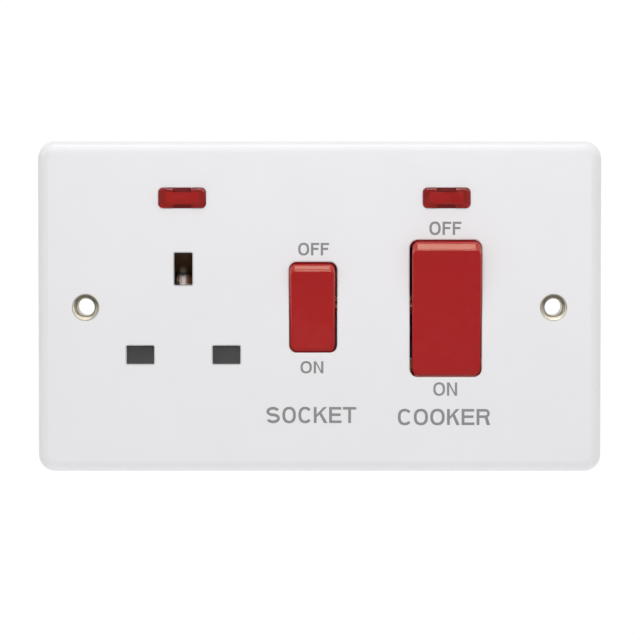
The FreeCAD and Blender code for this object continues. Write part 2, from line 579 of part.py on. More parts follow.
cb_x0, cb_x1 = 18.0, 47.0
cb = fuse(rear_round(rbox(cb_x0, cb_x1, 4.2, 25.0, -28.0, 28.0, 2.0), 25.0, 1.2), rbox(cb_x0, cb_x1, -0.8, 4.4, -22.0, 22.0, 2.0),
          *lugs(cook_lugs, [(20.0, None), (45.0, None), (20.0, None), (45.0, None)]))
cb = cb.cut([box(20.0, 45.0, -2, 6.0, -20.2, 20.2),
             box(20.0, 31.4, 5.9, 23.2, -26.2, 26.2), box(33.6, 45.0, 5.9, 23.2, -26.2, 26.2)])
cb = fuse(cb, box(19.0, 23.1, -1.45, 5.0, -1.4, 1.4), box(41.9, 46.0, -1.45, 5.0, -1.4, 1.4))
cb_cuts = [box(17, 21, 17.2, 18.8, -3.4, 2.4), box(31, 34, 17.2, 18.8, -3.4, 2.4),
           box(17, 21, 12.6, 14.2, 15.6, 20.4), box(23.5, 41.5, 24.3, 26, -11.5, 11.5)]
for tx in term_x:
    cb_cuts += [cyl_z(3.7, 25, 29, tx, term_bore_y), cyl_z(3.7, -29, -25, tx, term_bore_y)]
    cb_cuts += [cyl_y(3.1, 22, 26, tx, s * z) for z in term_screw_z for s in (-1, 1)]
cb_cuts += [cyl_z(0.5, 18, 23, x, 2.6) for x in lead_x[1]]
cb_cuts += [cyl_y(1.7, -1, 4, x, z) for x, z in cook_lugs]
cb = cut(cb, *cb_cuts)
save("cooker_base", cb)

save("socket_base_screws", *[cross_screw(x, z, -5.0, 1.45, 2.2, 2.7, 4.0) for x, z in sock_lugs])
save("cooker_base_screws", *[cross_screw(x, z, -5.0, 1.45, 2.2, 2.7, 4.0) for x, z in cook_lugs])

# ---------------------------------------------------------------- front plate
shell = Part.makeLoft([rwire(0, 0, plate_w, plate_h, plate_corner_r, 0),
                       rwire(0, 0, plate_w - 2 * plate_draft, plate_h - 2 * plate_draft, plate_corner_r, y_face)], True, True)
front_edges = [e for e in shell.Edges if e.BoundBox.YMax < y_face + 0.01]
shell = shell.makeFillet(plate_edge_r, front_edges)
shell = shell.cut(rprism(0, 0, plate_w - 2 * skirt_t, plate_h - 2 * skirt_t, 2.0, y_in, 2))
adds = []
for s in (-1, 1):
    adds.append(cyl_y(5.5, y_in - 0.2, -1.0, s * fix_x, 0))
    a, b = sorted((s * fix_x, s * (plate_w / 2 - skirt_t + 0.3)))
    adds.append(box(a, b, y_in - 0.2, -2.2, -0.8, 0.8))
for nx in neon_x:
    adds.append(rprism(nx, neon_z, 16.8, 9.2, 1.8, y_in - 0.2, -2.2).cut(rprism(nx, neon_z, 14.6, 7.0, 1.5, y_in - 1, 0)))
for x, z in sock_lugs + cook_lugs:
    adds.append(cyl_y(3.2, y_in - 0.2, 0.0, x, z))
for x in (-50.0, -20.0, 30.0, 50.0):
    adds.append(cyl_y(2.2, y_in - 0.2, -1.0, x, -36.0))
zr = plate_h / 2 - skirt_t
for x in (-55.0, -18.0, 12.0, 55.0):
    for s in (-1, 1):
        a, b = sorted((s * (zr + 0.3), s * (zr - 1.6)))
        adds.append(box(x - 0.6, x + 0.6, y_in - 0.2, -2.5, a, b))
xr = plate_w / 2 - skirt_t
for z in (-26.0, 26.0):
    for s in (-1, 1):
        a, b = sorted((s * (xr + 0.3), s * (xr - 3.5)))
        adds.append(box(a, b, y_in - 0.2, -2.5, z - 0.6, z + 0.6))


def cheek(x0, x1, py, r, half, y1):
    c = box(x0, x1, y_in - 0.2, y1, -half, half)
    return c.cut([cyl_x(r, x0 - 1, x1 + 1, py, 0), box(x0 - 1, x1 + 1, py, 2, -r, r)])


adds.append(cheek(ck_x - 11.3, ck_x - 9.35, ck_py, ck_stub_r + 0.05, 4.2, -0.9))
adds.append(cheek(ck_x + 9.5, ck_x + 11.3, ck_py, ck_stub_r + 0.05, 4.2, -0.9))
adds.append(cheek(sk_x - 8.2, sk_x - 6.4, sk_py, sk_stub_r + 0.05, 3.4, -1.4))
adds.append(cheek(sk_x + 6.4, sk_x + 8.2, sk_py, sk_stub_r + 0.05, 3.4, -1.4))
plate = fuse(shell, *adds)

cuts = [rocker_envelope(ck_ap_x0, ck_ap_x1, ck_py, ck_ap_r_top, ck_ap_r_bot, 1.0, 7.0, ck_ap_corner),
        rocker_envelope(sk_ap_x0, sk_ap_x1, sk_py, sk_ap_r_top, sk_ap_r_bot, 0.5, 6.0, sk_ap_corner)]
for nx in neon_x:
    cuts.append(rprism(nx, neon_z, neon_w + 0.2, neon_h + 0.2, 1.3, y_face - 1, y_in + 1))
ch_w, ch_d = 0.28, 0.7
for cx, cz, aw, ah in ((sock_x, earth_z, earth_w, earth_h), (xl, pin_z, pin_w, pin_h), (xn, pin_z, pin_w, pin_h)):
    cuts.append(rprism(cx, cz, aw, ah, 0.35, y_face - 1, y_in + 1))
    cuts.append(taper(cx, cz, aw + 2 * ch_w, ah + 2 * ch_w, 0.6, y_face, aw, ah, 0.35, y_face + ch_d))
for s in (-1, 1):
    cuts.append(lathe_y([(0, 2), (eyelet_tube_r + 0.03, 2), (eyelet_tube_r + 0.03, -7.22), (eyelet_flange_r + 0.05, -8.44),
                         (eyelet_flange_r + 0.05, -10), (0, -10)], s * fix_x, 0))
for x, z in sock_lugs + cook_lugs:
    cuts.append(cyl_y(1.5, -5.3, 1, x, z))
plate = cut(plate, *cuts)
# the rims of the two rocker apertures are rounded
rims = []
for e in plate.Edges:
    b = e.BoundBox
    if b.YMin > y_face - 0.01 and b.YMax < y_face + 0.01:
        for x0, x1, zh in ((ck_ap_x0, ck_ap_x1, 19.0), (sk_ap_x0, sk_ap_x1, 12.5)):
            if b.XMin > x0 - 0.1 and b.XMax < x1 + 0.1 and b.ZMin > -zh and b.ZMax < zh:
                rims.append(e)
plate = plate.makeFillet(aperture_rim, rims)
save("front_plate", plate)
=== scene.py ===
import json
import math

import bmesh
import bpy
from mathutils import Matrix, Vector


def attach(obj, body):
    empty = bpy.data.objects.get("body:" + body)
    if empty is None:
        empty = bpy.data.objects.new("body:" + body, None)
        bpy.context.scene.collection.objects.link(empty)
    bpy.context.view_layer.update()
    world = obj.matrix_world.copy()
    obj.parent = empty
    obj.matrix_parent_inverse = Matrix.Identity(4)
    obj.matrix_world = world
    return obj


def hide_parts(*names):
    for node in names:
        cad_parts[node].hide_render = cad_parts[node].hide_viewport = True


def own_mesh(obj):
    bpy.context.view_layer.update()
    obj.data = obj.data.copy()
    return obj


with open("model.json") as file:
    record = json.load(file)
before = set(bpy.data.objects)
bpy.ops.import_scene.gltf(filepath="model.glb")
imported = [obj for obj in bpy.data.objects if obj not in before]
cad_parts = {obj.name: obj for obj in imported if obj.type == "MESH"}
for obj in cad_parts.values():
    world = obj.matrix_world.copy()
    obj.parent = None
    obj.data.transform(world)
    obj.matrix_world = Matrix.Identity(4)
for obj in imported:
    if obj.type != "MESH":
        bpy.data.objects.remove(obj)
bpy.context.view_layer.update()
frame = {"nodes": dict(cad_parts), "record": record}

nodes = frame["nodes"]
scene = bpy.context.scene
MM = 0.001


# ------------------------------------------------------------------ material tools
class Mat:
    """A node material that works in the object's own coordinates, in metres."""

    def __init__(self, name):
        self.m = bpy.data.materials.new(name)
        self.m.use_nodes = True
        self.nt = self.m.node_tree
        self.nt.nodes.clear()
        self.out = self.nt.nodes.new("ShaderNodeOutputMaterial")
        self.b = self.nt.nodes.new("ShaderNodeBsdfPrincipled")
        self.nt.links.new(self.b.outputs["BSDF"], self.out.inputs["Surface"])
        self.co = self.nt.nodes.new("ShaderNodeTexCoord").outputs["Object"]

    def set(self, **values):
        names = {"metallic": "Metallic", "ior": "IOR", "specular": "Specular IOR Level", "coat": "Coat Weight",
                 "coat_rough": "Coat Roughness", "coat_ior": "Coat IOR", "spec_tint": "Specular Tint", "transmission": "Transmission Weight", "subsurface": "Subsurface Weight",
                 "sub_scale": "Subsurface Scale", "rough": "Roughness"}
        for k, v in values.items():
            self.b.inputs[names[k]].default_value = v
        return self

    def link(self, a, b):
        self.nt.links.new(a, b)

    def scaled(self, stretch):
        n = self.nt.nodes.new("ShaderNodeMapping")
        n.inputs["Scale"].default_value = stretch
        self.link(self.co, n.inputs["Vector"])
        return n.outputs["Vector"]

    def noise(self, scale, detail=2.0, rough=0.5, stretch=None):
        n = self.nt.nodes.new("ShaderNodeTexNoise")
        n.inputs["Scale"].default_value = scale
        n.inputs["Detail"].default_value = detail
        n.inputs["Roughness"].default_value = rough
        self.link(self.scaled(stretch) if stretch else self.co, n.inputs["Vector"])
        return n.outputs["Fac"]

    def span(self, fac, lo, hi, a=0.3, b=0.7):
        n = self.nt.nodes.new("ShaderNodeMapRange")
        n.inputs["From Min"].default_value = a
        n.inputs["From Max"].default_value = b
        n.inputs["To Min"].default_value = lo
        n.inputs["To Max"].default_value = hi
        self.link(fac, n.inputs["Value"])
        return n.outputs["Result"]

    def tones(self, fac, *stops):
        n = self.nt.nodes.new("ShaderNodeValToRGB")
        ramp = n.color_ramp
        while len(ramp.elements) < len(stops):
            ramp.elements.new(0.5)
        for e, (p, c) in zip(ramp.elements, stops):
            e.position = p
            e.color = (*c, 1.0)
        self.link(fac, n.inputs["Fac"])
        return n.outputs["Color"]

    def along(self, axis, a, b, smooth=True):
        """0 where that coordinate is a millimetres, 1 where it is b."""
        x = self.nt.nodes.new("ShaderNodeSeparateXYZ")
        self.link(self.co, x.inputs[0])
        n = self.nt.nodes.new("ShaderNodeMapRange")
        n.interpolation_type = "SMOOTHSTEP" if smooth else "LINEAR"
        n.inputs["From Min"].default_value = a * MM
        n.inputs["From Max"].default_value = b * MM
        self.link(x.outputs[axis], n.inputs["Value"])
        return n.outputs["Result"]

    def mix(self, fac, a, b):
        n = self.nt.nodes.new("ShaderNodeMix")
        n.data_type = "RGBA"
        self.link(fac, n.inputs["Factor"])
        for value, socket in ((a, n.inputs[6]), (b, n.inputs[7])):
            if isinstance(value, tuple):
                socket.default_value = (*value, 1.0)
            else:
                self.link(value, socket)
        return n.outputs[2]

    def colour(self, socket):
        self.link(socket, self.b.inputs["Base Color"])
        return self

    def rough(self, socket):
        self.link(socket, self.b.inputs["Roughness"])
        return self

    def bump(self, height, strength, distance):
        n = self.nt.nodes.new("ShaderNodeBump")
        n.inputs["Strength"].default_value = strength
        n.inputs["Distance"].default_value = distance
        self.link(height, n.inputs["Height"])
        self.link(n.outputs["Normal"], self.b.inputs["Normal"])
        return self


def moulding(name, dark, light, r_lo, r_hi, grain=2600.0, strength=0.06, cloud=45.0, specular=0.5, coat=0.0):
    """Injection moulded plastic: faint flow clouds, an uneven gloss and a fine skin."""
    m = Mat(name).set(specular=specular, coat=coat, ior=1.5)
    m.colour(m.tones(m.noise(cloud, 3.0, 0.55), (0.3, dark), (0.7, light)))
    m.rough(m.span(m.noise(520.0, 3.0, 0.6), r_lo, r_hi))
    m.bump(m.noise(grain, 2.0, 0.5), strength, 0.00004)
    return m


def metal(name, base, tarnish, r_lo, r_hi, stretch=(60.0, 60.0, 1500.0), amount=(0.45, 0.75), strength=0.10):
    """Rolled or turned metal: drawn streaks and patches of tarnish."""
    m = Mat(name).set(metallic=1.0)
    patch = m.span(m.noise(240.0, 4.0, 0.6), 0.0, 1.0, *amount)
    m.colour(m.mix(patch, base, tarnish))
    streak = m.noise(1.0, 3.0, 0.6, stretch)
    m.rough(m.span(streak, r_lo, r_hi))
    m.bump(streak, strength, 0.00002)
    return m


mats = {}
mats["white_moulding"] = moulding("white_moulding", (0.852, 0.840, 0.856), (0.866, 0.854, 0.870), 0.30, 0.38, specular=0.45)
mats["red_moulding"] = moulding("red_moulding", (0.448, 0.0044, 0.0112), (0.460, 0.0052, 0.0122), 0.22, 0.27, grain=900.0, strength=0.015)
mats["red_moulding"].set(ior=1.75, spec_tint=(1.0, 0.95, 0.68, 1.0))
mats["carrier_grey"] = moulding("carrier_grey", (0.15, 0.15, 0.155), (0.17, 0.17, 0.175), 0.45, 0.55, strength=0.10)
mats["base_pale"] = moulding("base_pale", (0.66, 0.65, 0.62), (0.72, 0.71, 0.68), 0.42, 0.55, grain=1900.0, strength=0.14)
mats["base_dark"] = moulding("base_dark", (0.040, 0.040, 0.044), (0.052, 0.052, 0.057), 0.38, 0.52, grain=1900.0, strength=0.14)
mats["holder_white"] = moulding("holder_white", (0.72, 0.71, 0.69), (0.77, 0.76, 0.74), 0.40, 0.50, strength=0.10)
mats["plunger_resin"] = moulding("plunger_resin", (0.66, 0.64, 0.58), (0.72, 0.70, 0.64), 0.35, 0.45, strength=0.08)
mats["contact_brass"] = metal("contact_brass", (0.74, 0.55, 0.26), (0.50, 0.34, 0.15), 0.22, 0.36)
mats["eyelet_brass"] = metal("eyelet_brass", (0.68, 0.635, 0.52), (0.52, 0.465, 0.355), 0.32, 0.44, stretch=(900.0, 40.0, 900.0), strength=0.04)
mats["contact_silver"] = metal("contact_silver", (0.80, 0.79, 0.77), (0.62, 0.60, 0.57), 0.24, 0.38)
mats["spring_steel"] = metal("spring_steel", (0.58, 0.58, 0.59), (0.42, 0.41, 0.41), 0.22, 0.34)
mats["screw_steel"] = metal("screw_steel", (0.70, 0.69, 0.64), (0.52, 0.50, 0.42), 0.22, 0.38, stretch=(700.0, 60.0, 700.0))
mats["lead_wire"] = metal("lead_wire", (0.76, 0.76, 0.77), (0.58, 0.58, 0.60), 0.24, 0.36)
mats["resistor_body"] = moulding("resistor_body", (0.56, 0.42, 0.25), (0.66, 0.51, 0.33), 0.28, 0.40, cloud=600.0, strength=0.10)

# the shutter's ramp is painted dark brown, as painted shade with a painted brown reflection of the brass, and a
# painted pale highlight runs in a lane at its lower end
m = Mat("shutter_grey").set(specular=0.5, ior=1.5)
skin = m.tones(m.noise(45.0, 3.0, 0.55), (0.3, (0.050, 0.0485, 0.050)), (0.7, (0.059, 0.0573, 0.059)))
# painted shade: dark brown in place of the ramp's shade and the brass it reflects
painted_brown_shade = m.tones(m.noise(420.0, 3.0, 0.6), (0.3, (0.050, 0.021, 0.006)), (0.7, (0.064, 0.030, 0.008)))
# the lane in X that carries the painted highlight
highlight_lane = m.tones(m.along("X", -36.5, -34.3, False), (0.0, (0.0, 0.0, 0.0)), (0.35, (1.0, 1.0, 1.0)), (0.60, (1.0, 1.0, 1.0)), (1.0, (0.0, 0.0, 0.0)))
# painted highlight: pale towards the lower end of the ramp, inside the lane
shade_to_highlight = m.mix(m.along("Z", 10.8, 8.7), painted_brown_shade, (0.38, 0.32, 0.26))
m.colour(m.mix(m.along("Z", 5.5, 8.0), skin, m.mix(highlight_lane, painted_brown_shade, shade_to_highlight)))
m.rough(m.span(m.noise(520.0, 3.0, 0.6), 0.42, 0.52))
m.bump(m.noise(2600.0, 2.0, 0.5), 0.10, 0.00004)
mats["shutter_grey"] = m

# tinned bronze: low down the tin shows; higher up, from left to right, brown bronze, a painted pale highlight streak
# and painted shade darkening to near black
m = Mat("contact_tin").set(metallic=1.0)
tin = m.mix(m.span(m.noise(240.0, 4.0, 0.6), 0.0, 1.0, 0.45, 0.75), (0.78, 0.74, 0.70), (0.64, 0.56, 0.48))
# painted highlight and painted shade across X: brown, a pale highlight streak, then dark to near black
painted_streak_and_shade = m.tones(m.along("X", -37.3, -33.7, False), (0.08, (0.34, 0.20, 0.125)), (0.34, (0.56, 0.55, 0.56)), (0.46, (0.58, 0.57, 0.58)),
                (0.62, (0.20, 0.11, 0.06)), (0.82, (0.07, 0.035, 0.018)))
m.colour(m.mix(m.along("Z", 4.6, 5.4), tin, painted_streak_and_shade))
m.rough(m.span(m.noise(1.0, 3.0, 0.6, (60.0, 60.0, 1500.0)), 0.27, 0.37))
m.bump(m.noise(1.0, 3.0, 0.6, (60.0, 60.0, 1500.0)), 0.06, 0.00002)
mats["contact_tin"] = m

m = Mat("red_lens").set(transmission=0.70, ior=1.49, specular=0.5)
m.colour(m.tones(m.noise(300.0, 2.0, 0.5), (0.3, (0.75, 0.041, 0.034)), (0.7, (0.79, 0.050, 0.041))))
m.rough(m.span(m.noise(500.0, 2.0, 0.5), 0.06, 0.10))
m.bump(m.noise(700.0, 2.0, 0.5), 0.02, 0.00003)
mats["red_lens"] = m

m = Mat("lens_diffuser").set(specular=0.4, subsurface=0.0)
skin = m.tones(m.noise(900.0, 3.0, 0.6), (0.3, (0.96, 0.42, 0.35)), (0.7, (0.99, 0.56, 0.47)))
shade = m.tones(m.noise(1.0, 3.0, 0.6, (160.0, 160.0, 1100.0)), (0.40, (0.0, 0.0, 0.0)), (0.62, (1.0, 1.0, 1.0)))
m.colour(m.mix(shade, skin, (0.80, 0.30, 0.23)))
m.rough(m.span(m.noise(700.0, 2.0, 0.5), 0.35, 0.55))
m.bump(m.noise(1200.0, 2.0, 0.5), 0.10, 0.00005)
diffuser = m.m

m = Mat("lens_latch").set(specular=0.2, ior=1.49)
# painted shade: the latch red is darkened to stand in for the shade in the notch
m.colour(m.tones(m.noise(900.0, 2.0, 0.5), (0.3, (0.155, 0.005, 0.007)), (0.7, (0.195, 0.008, 0.010))))
m.rough(m.span(m.noise(700.0, 2.0, 0.5), 0.40, 0.55))
m.bump(m.noise(1200.0, 2.0, 0.5), 0.05, 0.00004)
latch_painted_shade = m.m

m = Mat("lamp_glass").set(transmission=1.0, ior=1.46, specular=0.5)
m.colour(m.tones(m.noise(500.0, 2.0, 0.5), (0.3, (0.90, 0.82, 0.76)), (0.7, (0.95, 0.90, 0.86))))
m.rough(m.span(m.noise(700.0, 2.0, 0.5), 0.03, 0.08))
m.bump(m.noise(600.0, 2.0, 0.5), 0.05, 0.00004)
mats["lamp_glass"] = m

m = Mat("grey_ink").set(specular=0.4, ior=1.5)
m.colour(m.tones(m.noise(2200.0, 3.0, 0.6), (0.3, (0.246, 0.246, 0.253)), (0.7, (0.290, 0.290, 0.297))))
m.rough(m.span(m.noise(1500.0, 2.0, 0.5), 0.42, 0.55))
m.bump(m.noise(3000.0, 2.0, 0.5), 0.10, 0.00001)
ink = m.m

slot_of = {s["node"]: s["material_slot"] for s in frame["record"]["subparts"]}
for name, o in nodes.items():
    o.data.materials.clear()
    o.data.materials.append(mats[slot_of[name]].m)
    for p in o.data.polygons:
        p.material_index = 0


# ------------------------------------------------------------------ added pieces
def place(name, mesh, material, body):
    o = bpy.data.objects.new(name, mesh)
    scene.collection.objects.link(o)
    o.data.materials.clear()
    o.data.materials.append(material)
    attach(o, body)
    return o


# lettering: upright strokes of an even weight, drawn as closed outlines in a box one cap high
def oval(w, dx, dz, n=40, power=2.35, a0=0.0, a1=360.0):
    pts = []
    for i in range(n + (0 if a1 - a0 >= 360.0 else 1)):
        a = math.radians(a0 + (a1 - a0) * i / n)
        c, s = math.cos(a), math.sin(a)
        x = math.copysign(abs(c) ** (2 / power), c)
        z = math.copysign(abs(s) ** (2 / power), s)
        pts.append((w / 2 + (w / 2 - dx) * x, 0.5 + (0.515 - dz) * z))
    return pts


def letter_o(w, t):
    return [oval(w, 0, 0), oval(w, t, 0.92 * t)]


def letter_c(w, t):
    return [oval(w, 0, 0, 36, 2.35, 38, 322) + oval(w, t, 0.92 * t, 36, 2.35, 322, 38)]


def letter_s(w, t):
    path = []
    hw = w / 2 - t / 2
    mid = 0.51
    c1, r1 = (1.01 - t / 2 + mid) / 2, (1.01 - t / 2 - mid) / 2
    c2, r2 = (mid + t / 2 - 0.01) / 2, (mid - t / 2 + 0.01) / 2
    for i in range(25):
        a = math.radians(22 + (262 - 22) * i / 24)
        path.append((w / 2 + 0.96 * hw * math.cos(a), c1 + r1 * math.sin(a)))
    for i in range(25):
        a = math.radians(82 - (82 + 158) * i / 24)
        path.append((w / 2 + hw * math.cos(a), c2 + r2 * math.sin(a)))
    left, right = [], []
    for i, p in enumerate(path):
        q0, q1 = path[max(i - 1, 0)], path[min(i + 1, len(path) - 1)]
        d = Vector((q1[0] - q0[0], q1[1] - q0[1])).normalized()
        left.append((p[0] - d.y * t / 2, p[1] + d.x * t / 2))
        right.append((p[0] + d.y * t / 2, p[1] - d.x * t / 2))
    return [left + right[::-1]]


def letter_k(w, t):
    k = (1 - 0.36) / (w - 0.02 - t)
    on = lambda x: (x, 0.36 + k * (x - t))
    return [[(0, 0), (0, 1), (t, 1), (t, 0.53), (w - 1.42 * t, 1), (w - 0.02, 1), on(t + 0.30), (w, 0), (w - 1.25 * t, 0),
             on(t + 0.17), on(t), (t, 0)]]


def letter_e(w, t):
    h = 0.92 * t
    return [[(0, 0), (0, 1), (w - 0.02, 1), (w - 0.02, 1 - h), (t, 1 - h), (t, 0.52 + h / 2), (w - 0.06, 0.52 + h / 2),
             (w - 0.06, 0.52 - h / 2), (t, 0.52 - h / 2), (t, h), (w, h), (w, 0)]]


def letter_f(w, t):
    h = 0.92 * t
    return [[(0, 0), (0, 1), (w, 1), (w, 1 - h), (t, 1 - h), (t, 0.52 + h / 2), (w - 0.08, 0.52 + h / 2),
             (w - 0.08, 0.52 - h / 2), (t, 0.52 - h / 2), (t, 0)]]


def letter_t(w, t):
    h = 0.92 * t
    a, b = w / 2 - t / 2, w / 2 + t / 2
    return [[(a, 0), (a, 1 - h), (0, 1 - h), (0, 1), (w, 1), (w, 1 - h), (b, 1 - h), (b, 0)]]


def letter_n(w, t):
    return [[(0, 0), (0, 1), (1.1 * t, 1), (w - t, 0.22), (w - t, 1), (w, 1), (w, 0), (w - 1.1 * t, 0), (t, 0.78), (t, 0)]]


def letter_l(w, t):
    h = 0.92 * t
    return [[(0, 0), (0, 1), (t, 1), (t, h), (w, h), (w, 0)]]


def letter_r(w, t):
    h = 0.92 * t
    zc, r = 0.72, 0.28
    xb = w - 0.03 - r
    arc = lambda rad, a0, a1, n: [(xb + rad * math.cos(math.radians(a0 + (a1 - a0) * i / n)),
                                   zc + rad * math.sin(math.radians(a0 + (a1 - a0) * i / n))) for i in range(n + 1)]
    outer = [(0, 0), (0, 1)] + arc(r, 90, -58, 16) + [(w, 0), (w - 1.25 * t, 0), (xb - 0.03, 0.44), (t, 0.44), (t, 0)]
    hole = [(t, 1 - h)] + arc(r - h, 90, -90, 16) + [(t, 0.44 + h)]
    return [outer, hole]


GLYPH = {"O": letter_o, "C": letter_c, "S": letter_s, "K": letter_k, "E": letter_e, "F": letter_f, "T": letter_t,
         "N": letter_n, "R": letter_r, "L": letter_l}


def word(name, text, widths, gaps, cx, cz, cap, stroke, total, y_face, lift, out=-1.0):
    """Print on a face square to Y. widths and gaps are shares that are stretched to the total width, in mm.
    out is -1 on the front and +1 on the rear, where the word reads from behind."""
    curve = bpy.data.curves.new(name, "CURVE")
    curve.dimensions = "2D"
    curve.fill_mode = "BOTH"
    run = sum(widths) + sum(gaps)
    k = total / run
    x = -total / 2
    for i, ch in enumerate(text):
        w = widths[i] * k
        for loop in GLYPH[ch](w / cap, stroke / cap):
            s = curve.splines.new("POLY")
            s.points.add(len(loop) - 1)
            for p, (u, v) in zip(s.points, loop):
                p.co = ((x + u * cap) * MM, (v - 0.5) * cap * MM, 0.0, 1.0)
            s.use_cyclic_u = True
        x += w + (gaps[i] * k if i < len(gaps) else 0.0)
    depth = lift + 0.004
    curve.extrude = depth / 2 * MM
    tmp = bpy.data.objects.new(name + "_outline", curve)
    scene.collection.objects.link(tmp)
    bpy.context.view_layer.update()
    mesh = bpy.data.meshes.new_from_object(tmp.evaluated_get(bpy.context.evaluated_depsgraph_get()))
    bpy.data.objects.remove(tmp)
    turn = Matrix.Rotation(math.radians(90), 4, "X") if out < 0 else Matrix.Rotation(math.radians(180), 4, "Z") @ Matrix.Rotation(math.radians(90), 4, "X")
    mesh.transform(Matrix.Translation((cx * MM, (y_face + out * (lift - depth / 2)) * MM, cz * MM)) @ turn)
    mesh.name = name
    return mesh


Y_FACE = -9.0
LIFT = 0.014
print_words = [
    ("print_socket", "SOCKET", (13.6, 13.4, 13.3, 13.6, 12.3, 13.2), (2.4, 2.5, 1.9, 1.6, 1.4), -2.16, -27.79, 4.15, 0.73, 23.25),
    ("print_cooker", "COOKER", (13.7, 13.9, 14.2, 12.6, 12.6, 13.4), (2.0, 2.2, 2.3, 1.7, 2.1), 32.10, -28.31, 4.15, 0.73, 23.85),
    ("print_on_socket", "ON", (12.0, 10.2), (2.0,), -1.98, -15.45, 3.10, 0.58, 5.90),
    ("print_off_socket", "OFF", (12.0, 9.0, 9.0), (2.0, 1.6), -1.55, 15.02, 3.20, 0.60, 7.95),
    ("print_on_cooker", "ON", (12.0, 10.4), (2.0,), 32.40, -21.08, 3.40, 0.58, 6.15),
    ("print_off_cooker", "OFF", (12.0, 9.2, 9.2), (2.0, 1.6), 32.38, 20.38, 3.40, 0.62, 8.25),
]
for name, text, widths, gaps, cx, cz, cap, stroke, total in print_words:
    place(name, word(name, text, widths, gaps, cx, cz, cap, stroke, total, Y_FACE, LIFT), ink, "body")


# raised marks beside the cooker terminals, on the floor of the recess behind
for name, text, x, z in (("mark_live_supply", "L", 25.6, 9.2), ("mark_neutral_supply", "N", 39.4, 9.2),
                         ("mark_live_load", "L", 25.6, -9.2), ("mark_neutral_load", "N", 39.4, -9.2)):
    place(name, word(name, text, (10.0,), (), x, z, 3.0, 0.55, 2.1 if text == "L" else 2.5, 24.3, 0.3, 1.0), mats["base_dark"].m, "body")


# inside each lens: a diffuser in its hollow, and a latch in the notch of each long edge, coloured darker than the lens
# as painted shade of the notch
def block(name, x0, x1, y0, y1, z0, z1, bevel, material):
    bm = bmesh.new()
    bmesh.ops.create_cube(bm, size=1.0)
    for v in bm.verts:
        v.co = Vector(((x0 + x1) / 2 + v.co.x * (x1 - x0), (y0 + y1) / 2 + v.co.y * (y1 - y0), (z0 + z1) / 2 + v.co.z * (z1 - z0))) * MM
    bmesh.ops.bevel(bm, geom=bm.edges[:], offset=bevel * MM, segments=3, profile=0.5, affect="EDGES")
    mesh = bpy.data.meshes.new(name)
    bm.to_mesh(mesh)
    bm.free()
    return place(name, mesh, material, "body")


NEON_Z = 28.2
for tag, nx in (("socket", -35.4), ("cooker", 32.7)):
    block("lens_diffuser_" + tag, nx - 4.3, nx + 4.3, -8.26, -5.7, NEON_Z - 1.5, NEON_Z + 1.5, 0.25, diffuser)
    block("lens_latch_upper_" + tag, nx - 2.3, nx + 2.3, -9.1, -8.72, NEON_Z + 1.64, NEON_Z + 2.56, 0.08, latch_painted_shade)
    block("lens_latch_lower_" + tag, nx - 2.3, nx + 2.3, -9.1, -8.72, NEON_Z - 2.56, NEON_Z - 2.05, 0.08, latch_painted_shade)


# springs with closed ends, for the plungers and the shutter
def coil(bm, p0, p1, r_mean, r_wire, active, ring=10, step=20):
    """Helical wire from p0 to p1, one closed turn at each end."""
    p0, p1 = Vector(p0), Vector(p1)
    axis = (p1 - p0).normalized()
    length = (p1 - p0).length
    u = axis.orthogonal().normalized()
    v = axis.cross(u)
    turns = active + 2.0
    lead = 2.06 * r_wire
    free = length - 2 * r_wire - 2 * lead

    def height(k):
        if k < 1.0:
            return r_wire + lead * k
        if k > turns - 1.0:
            return length - r_wire - lead * (turns - k)
        s = (k - 1.0) / active
        return r_wire + lead + free * s

    n = int(turns * step)
    centre = []
    for i in range(n + 1):
        k = turns * i / n
        a = 2 * math.pi * k
        h = sum(height(min(max(k + d, 0.0), turns)) for d in (-0.12, 0.0, 0.12)) / 3
        centre.append(p0 + axis * h + (u * math.cos(a) + v * math.sin(a)) * r_mean)
    rows = []
    for i, c in enumerate(centre):
        t = (centre[min(i + 1, n)] - centre[max(i - 1, 0)]).normalized()
        a = 2 * math.pi * turns * i / n
        out = (u * math.cos(a) + v * math.sin(a))
        out = (out - t * out.dot(t)).normalized()
        up = t.cross(out)
        rows.append([bm.verts.new(c + (out * math.cos(q) + up * math.sin(q)) * r_wire)
                     for q in [2 * math.pi * j / ring for j in range(ring)]])
    for a, b in zip(rows, rows[1:]):
        for j in range(ring):
            bm.faces.new((a[j], a[(j + 1) % ring], b[(j + 1) % ring], b[j]))
    bm.faces.new(rows[0][::-1])
    bm.faces.new(rows[-1])


def spring_piece(name, runs, body, node):
    bm = bmesh.new()
    for p0, p1, r_mean, r_wire, active in runs:
        coil(bm, [c * MM for c in p0], [c * MM for c in p1], r_mean * MM, r_wire * MM, active)
    bmesh.ops.recalc_face_normals(bm, faces=bm.faces[:])
    for f in bm.faces:
        f.smooth = len(f.verts) == 4
    mesh = bpy.data.meshes.new(name)
    bm.to_mesh(mesh)
    bm.free()
    o = place(name, mesh, mats["spring_steel"].m, body)
    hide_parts(node)
    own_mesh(o)
    return o


def tilted(x, y, py, deg):
    """A point on a rocker's own axis, at depth y before tilting about the pivot at depth py."""
    a = math.radians(deg)
    return (x, py + (y - py) * math.cos(a), (y - py) * math.sin(a))


